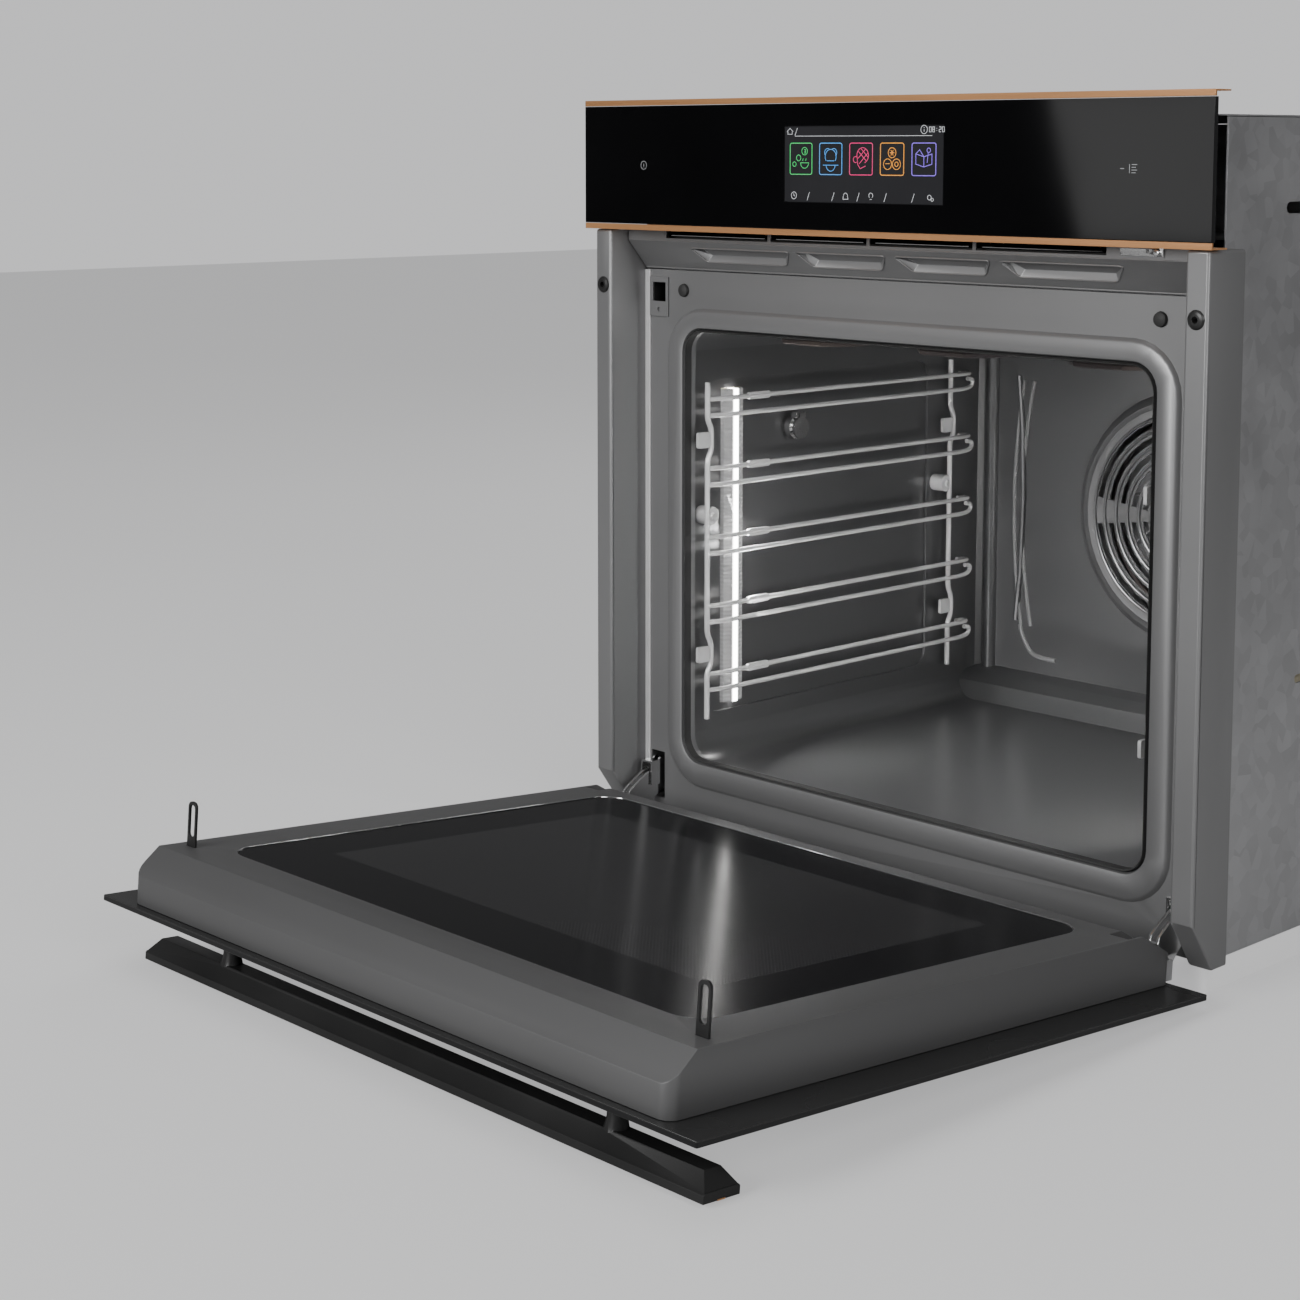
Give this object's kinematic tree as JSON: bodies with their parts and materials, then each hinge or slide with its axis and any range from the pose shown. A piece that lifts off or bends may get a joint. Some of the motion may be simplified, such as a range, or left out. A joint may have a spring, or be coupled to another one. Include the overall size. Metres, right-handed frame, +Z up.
{
  "type": "wall oven",
  "caption": "Built-in electric wall oven, drop-down glass door open, black touch panel with copper edges, enamelled cavity with wire side racks, light bars and a fan.",
  "frame": {"origin": "on the underside of the base pan, on the centre line, 0.300 m behind the face of the control panel", "axes": "+Z up, +Y from the front into the cabinet, +X to the right seen from the front"},
  "size_m": [0.597, 1.0089, 0.6128],
  "materials": {
    "black_glass": "gloss black, printed from behind",
    "copper_trim": "satin copper tone",
    "dark_enamel": "glossy fired enamel",
    "front_steel": "satin dark grey",
    "chrome": "bright plated steel",
    "galvanised_steel": "zinc coated sheet",
    "black_metal": "satin black",
    "seal_rubber": "matt",
    "screen": "gloss, back-lit",
    "circuit_board": "green laminate",
    "mineral_wool": "matt fibre",
    "black_plastic": "matt",
    "light_lens": "clear prism bar",
    "heating_element": "dark heat-tinted steel"
  },
  "bodies": {
    "casing": {"air_deflector": "front_steel", "air_duct": "galvanised_steel", "base_pan": "galvanised_steel", "blower_deck": "galvanised_steel", "blower_housing": "galvanised_steel", "bottom_element": "heating_element", "catch_plate": "front_steel", "cavity_liner": "dark_enamel", "column_left": "front_steel", "column_right": "front_steel", "control_board": "circuit_board", "convection_motor": "galvanised_steel", "cooling_motor": "galvanised_steel", "door_buffer_left": "seal_rubber", "door_buffer_right": "seal_rubber", "door_gasket": "seal_rubber", "fan_chamber": "galvanised_steel", "fan_cover": "dark_enamel", "fixing_bush_left": "front_steel", "fixing_bush_right": "front_steel", "front_frame": "front_steel", "grill_element": "heating_element", "hinge_arm_left": "chrome", "hinge_arm_right": "chrome", "insulation_jacket": "mineral_wool", "light_bar_left": "light_lens", "light_bar_right": "light_lens", "lock_body": "black_plastic", "panel_carrier": "galvanised_steel", "panel_glass": "black_glass", "panel_latch": "chrome", "panel_trim_bottom": "copper_trim", "panel_trim_top": "copper_trim", "probe_socket": "chrome", "rear_cover": "galvanised_steel", "ring_heater": "heating_element", "side_panel_left": "galvanised_steel", "side_panel_right": "galvanised_steel", "side_rack_left": "chrome", "side_rack_right": "chrome", "terminal_block": "black_plastic", "top_cover": "galvanised_steel", "touch_display": "screen"},
    "door": {"door_outer_glass": "black_glass", "door_frame": "front_steel", "door_inner_glass": "black_glass", "door_middle_glass": "black_glass", "glass_spacer": "black_plastic", "catch_loop_left": "front_steel", "catch_loop_right": "front_steel", "door_handle": "black_metal", "handle_inlay": "copper_trim", "hinge_case_left": "galvanised_steel", "hinge_case_right": "galvanised_steel"},
    "convection_wheel": {"convection_wheel": "galvanised_steel"},
    "cooling_impeller": {"cooling_impeller": "black_plastic"},
    "lock_hook": {"lock_hook": "chrome"},
    "probe_cap": {"probe_cap": "chrome"},
    "hinge_clip_left": {"hinge_clip_left": "chrome"},
    "hinge_clip_right": {"hinge_clip_right": "chrome"}
  },
  "joints": [
    {"name": "door_hinge", "type": "hinge", "parent": "casing", "child": "door", "pos_m": [0, -0.2839, 0.0038], "axis": [-1, 0, 0], "range_deg": [0, 85.5]},
    {"name": "convection_spin", "type": "hinge", "parent": "casing", "child": "convection_wheel", "pos_m": [0, 0.147, 0.236], "axis": [0, 1, 0], "continuous": true},
    {"name": "cooling_spin", "type": "hinge", "parent": "casing", "child": "cooling_impeller", "pos_m": [0, 0.03, 0.476], "axis": [0, 0, 1], "continuous": true},
    {"name": "lock_swing", "type": "hinge", "parent": "casing", "child": "lock_hook", "pos_m": [-0.2562, -0.22, 0.42], "axis": [-1, 0, 0], "range_deg": [0, 28]},
    {"name": "probe_cap_hinge", "type": "hinge", "parent": "casing", "child": "probe_cap", "pos_m": [-0.221, -0.124, 0.3292], "axis": [0, -1, 0], "range_deg": [0, 100]},
    {"name": "hinge_clip_left_flip", "type": "hinge", "parent": "casing", "child": "hinge_clip_left", "pos_m": [-0.261, -0.2625, 0.0285], "axis": [1, 0, 0], "range_deg": [0, 40]},
    {"name": "hinge_clip_right_flip", "type": "hinge", "parent": "casing", "child": "hinge_clip_right", "pos_m": [0.261, -0.2625, 0.0285], "axis": [1, 0, 0], "range_deg": [0, 40]}
  ]
}
